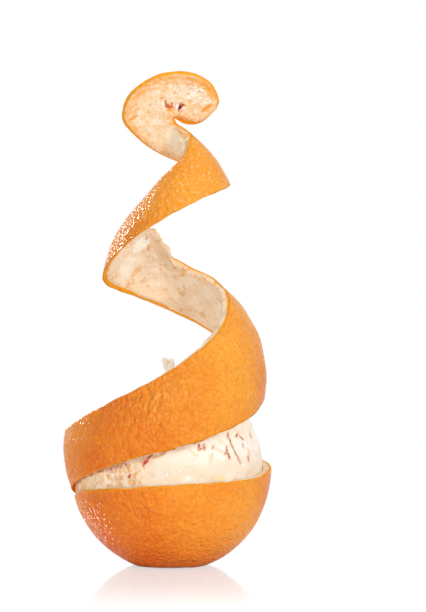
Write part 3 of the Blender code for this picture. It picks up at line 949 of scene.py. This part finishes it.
# Unevenness, and the tuft: its height, its middle and half its width. It leans to the left, is
# thinned from front to back, and its middle sinks between its two ends. In mm.
FRUIT_PILLOWS = (0.3, 7)
FRUIT_LUMPS = (0.14, 2.2)
TUFT_STARTS = (77 * MM, 84 * MM)
TUFT_MIDDLE = 0.3 * MM
TUFT_HALF_WIDTH = 1.2 * MM
TUFT_SPREADS = 0.9
TUFT_LEANS = -1.2
TUFT_THINNED = -0.5
TUFT_SINKS = -1.5
TUFT_FIBRES = (0.8, 1.3)
fruit = refine(frame["nodes"]["fruit"], "peeled_fruit")
smooth_out(fruit, 2)
split_finer(fruit, lambda face: face.center.z > BARE_ABOVE)


def fruit_relief(place, normal, number):
    """Closes the gap to the cup, fills the slit's end and makes the pith uneven."""
    turn = math.degrees(math.atan2(place.y, place.x)) % 360
    bonded = BOND * fade_in(*BOND_STARTS, place.z)
    slit_end = fade_in(*WEB_LAST_TURNS, turn) * fade_in(*WEB_FIRST_TURNS, turn)
    web = WEB * slit_end * fade_in(*WEB_TOP, place.z) * fade_in(*WEB_FOOT, place.z)
    pillows = lumps(place, *FRUIT_PILLOWS) + lumps(place, *FRUIT_LUMPS)
    shift = normal * (bonded + web + pillows)
    tuft = fade_in(*TUFT_STARTS, place.z)
    if tuft > 0:
        side = max(-1.0, min(1.0, (place.x - TUFT_MIDDLE) / TUFT_HALF_WIDTH))
        shift += Vector((TUFT_SPREADS * side + TUFT_LEANS, TUFT_THINNED * place.y / MM,
                         TUFT_SINKS * (1 - abs(side)))) * tuft
        shift += drift(place, *TUFT_FIBRES) * tuft
    return shift * MM


push(fruit, fruit_relief)
add_tint(fruit)

# Tears in the pith, where the red-brown flesh shows: turn in degrees, height in mm, lean
# in degrees, length and width in mm, colour.
TEARS = [
    (-105.0, 45.4, 30, 5.0, 2.2, "#B92A0C"), (-103.0, 47.0, 60, 3.0, 1.2, "#CC5026"),
    (-98.0, 47.3, 68, 4.4, 0.9, "#D58448"), (-94.5, 48.4, 60, 2.6, 0.8, "#D98E58"),
    (-70.6, 51.0, 8, 3.4, 1.1, "#B4583A"), (-67.2, 50.8, -4, 3.2, 1.0, "#BE6440"),
    (-68.9, 50.2, 75, 2.0, 0.8, "#C27860"), (-61.0, 50.6, 30, 2.2, 0.8, "#D59C84"),
    (-72.8, 52.6, 40, 2.0, 0.8, "#CB8A72"),
    (-50.6, 49.4, 12, 3.4, 1.3, "#B0482A"), (-50.2, 46.8, -6, 3.2, 1.4, "#AE4224"),
    (-52.6, 48.0, 40, 1.6, 0.8, "#BC5C3E"),
    (-47.0, 54.8, 20, 3.0, 0.9, "#BA4C28"), (-46.2, 52.6, -8, 3.0, 0.9, "#B04622"),
    (-45.4, 50.2, -12, 3.0, 1.0, "#B64E2C"), (-44.2, 47.8, -18, 3.2, 1.1, "#B85230"),
    (-42.4, 45.6, -20, 2.8, 1.1, "#B0745A"), (-41.4, 43.8, -5, 2.0, 1.0, "#C49078"),
    (-37.5, 54.8, 62, 3.2, 1.0, "#B24028"), (-33.4, 53.4, 125, 3.2, 0.9, "#B4462C"),
    (-34.0, 50.4, 10, 2.2, 1.2, "#C69C84"), (-31.5, 45.2, 0, 3.2, 1.5, "#BC8468"),
    (-115.5, 39.2, 20, 2.2, 1.7, "#B23018"), (-136.5, 40.6, 75, 3.2, 0.9, "#C46A48"),
    (-126.5, 43.6, 55, 3.0, 0.9, "#C46444"), (-122.0, 42.6, 20, 2.2, 0.8, "#CB7A56"),
    (-118.5, 43.6, -30, 2.2, 0.8, "#C46444"), (-129.5, 41.4, 20, 2.2, 1.0, "#BC5638"),
    (-149.0, 38.4, 40, 3.4, 1.0, "#CF7038"), (-143.0, 39.2, 65, 2.8, 1.0, "#C25E42"),
    (-156.0, 36.6, 30, 2.4, 1.0, "#CE7242"), (-164.0, 33.4, 25, 5.4, 0.8, "#DB8440"),
    (-158.0, 35.8, 60, 3.6, 0.9, "#E6A050"),
]
# Zest and pith torn in layers at the slit's end, in the same columns.
SLIT_END = [
    (-174.0, 32.6, 10, 10.0, 10.0, "#E08A28"), (-168.0, 35.0, 40, 8.0, 2.4, "#E99C38"),
    (-167.0, 32.4, 25, 6.0, 2.4, "#F3C88C"), (-163.5, 33.2, 30, 8.0, 2.0, "#B9561E"),
    (-161.0, 36.4, 65, 5.0, 1.6, "#EBA750"), (-159.0, 32.0, 60, 5.0, 2.2, "#EFA855"),
    (-151.0, 34.0, 5, 5.0, 1.4, "#EBA750"), (-147.0, 32.6, 80, 5.0, 1.6, "#F0B24E"),
]
# Among the stain colours, the olive and greyish cream ones are painted shade.
STAIN_AND_SHADE_COLOURS = ["#E6B04A", "#E0A040", "#E8BC72", "#DFA86C", "#C9A873", "#DDC08C", "#FFF6E4"]
PALE_STAINS = ["#F6DC98", "#F3D6A4", "#F1CDB4", "#E6D4B8", "#FFFAF0"]
TEAR_COLOURS = ["#C4552E", "#B8674A", "#C9785A", "#C8603E"]
# How many more tears there are at the right and the back, how many stains and patches of
# painted shade, and how many fibres.
TEARS_AT_BACK = 40
STAINS_AND_SHADE_BY_SLIT_END = 240
STAINS_ELSEWHERE = 190
FIBRES = 80
# Marks are aimed at the axis from outside the fruit, which has this radius at the tears. In mm.
OUTSIDE = 60
FRUIT_RADIUS = 37
TEAR_REACH = 3.4 * MM
chance = random.Random(5)
for _ in range(TEARS_AT_BACK):
    TEARS.append((chance.uniform(-20, 172), chance.uniform(47, 64), chance.uniform(-40, 40),
                  chance.uniform(2.0, 4.2), chance.uniform(0.8, 1.4),
                  chance.choice(TEAR_COLOURS)))


def outward(turn, reach, height):
    """The point at a turn round the fruit's axis, a reach from it and a height."""
    angle = math.radians(turn)
    return Vector((reach * math.cos(angle), reach * math.sin(angle), height)) * MM


def mark_fruit(turn, height, lean, length, width, colour, strength, raised):
    """One mark on the fruit: its place in degrees and mm, and how far it is raised."""
    dab(fruit, outward(turn, OUTSIDE, height), outward(turn, 0, height), math.radians(lean),
        length * MM, width * MM, colour, strength, raised * MM)


# The pith is meshed finer round each tear, for its crisp outline.
tear_centres = [outward(turn, FRUIT_RADIUS, height) for turn, height, *_ in TEARS]
split_finer(fruit, lambda face: any((face.center - centre).length < TEAR_REACH
                                    for centre in tear_centres), cuts=2)

# Yolk-yellow and orange stains where juice vesicles lie close under the pith, and olive and
# greyish cream patches of painted shade, most of them near the slit's end; zest and pith torn
# in layers at its very end, and white fibres.
for _ in range(STAINS_AND_SHADE_BY_SLIT_END):
    turn = chance.uniform(-172, -106)
    height = 30.5 + (turn + 172) * 0.09 + chance.uniform(0, 11)
    mark_fruit(turn, height, chance.uniform(-70, 70), chance.uniform(1.4, 3.6),
               chance.uniform(0.8, 1.8), chance.choice(STAIN_AND_SHADE_COLOURS), chance.uniform(0.4, 0.9),
               chance.uniform(-0.12, 0.08))
for turn, height, lean, length, width, colour in SLIT_END:
    mark_fruit(turn, height, lean, length, width, colour, 0.85, 0.0)
for _ in range(STAINS_ELSEWHERE):
    mark_fruit(chance.uniform(-114, 170), chance.uniform(35, 62), chance.uniform(-80, 80),
               chance.uniform(2, 6), chance.uniform(0.8, 2.2), chance.choice(PALE_STAINS),
               chance.uniform(0.4, 0.8), -0.08)
# Each tear is a thin dark line sunk in a wider and paler bruise.
for turn, height, lean, length, width, colour in TEARS:
    mark_fruit(turn, height, lean, length * 1.4, width * 2.2, "#EBC9AE", 0.5, -0.1)
    mark_fruit(turn, height, lean, length, width * 0.8, colour, 0.95, -0.3)
for _ in range(FIBRES):
    mark_fruit(chance.uniform(-170, 170), chance.uniform(36, 60), chance.uniform(-75, 75),
               chance.uniform(3, 7), 0.6, "#FFF9EE", 0.6, 0.12)
bpy.ops.object.shade_smooth()

# The pith left on a peeled orange: thin, moist and torn by hand. It looks soft white, lets
# light a little way in, and is creamier low down, because its top is painted whiter: painted
# light where the peel above shades it.
PITH_TONES = 120.0  # clouds 8 mm wide
TOP_PAINTED_LIGHT_COVER = 0.8
MOIST_ROUGHNESS = 0.6
LIGHT_THROUGH_FRUIT = 0.3
FRUIT_LIGHT_REACH = 3 * MM
fruit_look = bpy.data.materials.new("fruit_pith")
fruit_look.use_nodes = True
tree = fruit_look.node_tree
shader = tree.nodes["Principled BSDF"]
place = add_node(tree, "TexCoord", {}).outputs["Object"]
tone = add_node(tree, "TexNoise", {"Vector": place, "Scale": PITH_TONES, "Detail": 4.0})
tone = add_node(tree, "MapRange", {"Value": tone.outputs[0], "From Min": 0.3,
                                   "From Max": 0.7})
colour = add_node(tree, "Mix", {0: tone.outputs[0], 6: linear("#ECD3B4"),
                                7: linear("#F5E5D3")}, data_type="RGBA")
apart = add_node(tree, "SeparateXYZ", {0: place})
# Painted light: the fruit is whiter at the top.
painted_top_light = add_node(tree, "MapRange", {"Value": apart.outputs["Z"], "From Min": 43 * MM,
                                     "From Max": 49 * MM, "To Max": TOP_PAINTED_LIGHT_COVER})
colour = add_node(tree, "Mix", {0: painted_top_light.outputs[0], 6: colour.outputs[2],
                                7: linear("#FFF8EC")}, data_type="RGBA")
tint = add_node(tree, "Attribute", {}, attribute_name="tint")
colour = add_node(tree, "Mix", {0: tint.outputs["Alpha"], 6: colour.outputs[2],
                                7: tint.outputs["Color"]}, data_type="RGBA")
tree.links.new(colour.outputs[2], shader.inputs["Base Color"])
shader.inputs["Roughness"].default_value = MOIST_ROUGHNESS
shader.inputs["Subsurface Weight"].default_value = LIGHT_THROUGH_FRUIT
shader.inputs["Subsurface Radius"].default_value = (1.0, 0.6, 0.35)
shader.inputs["Subsurface Scale"].default_value = FRUIT_LIGHT_REACH
fruit.data.materials.append(fruit_look)
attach(fruit, "root")
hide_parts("fruit")
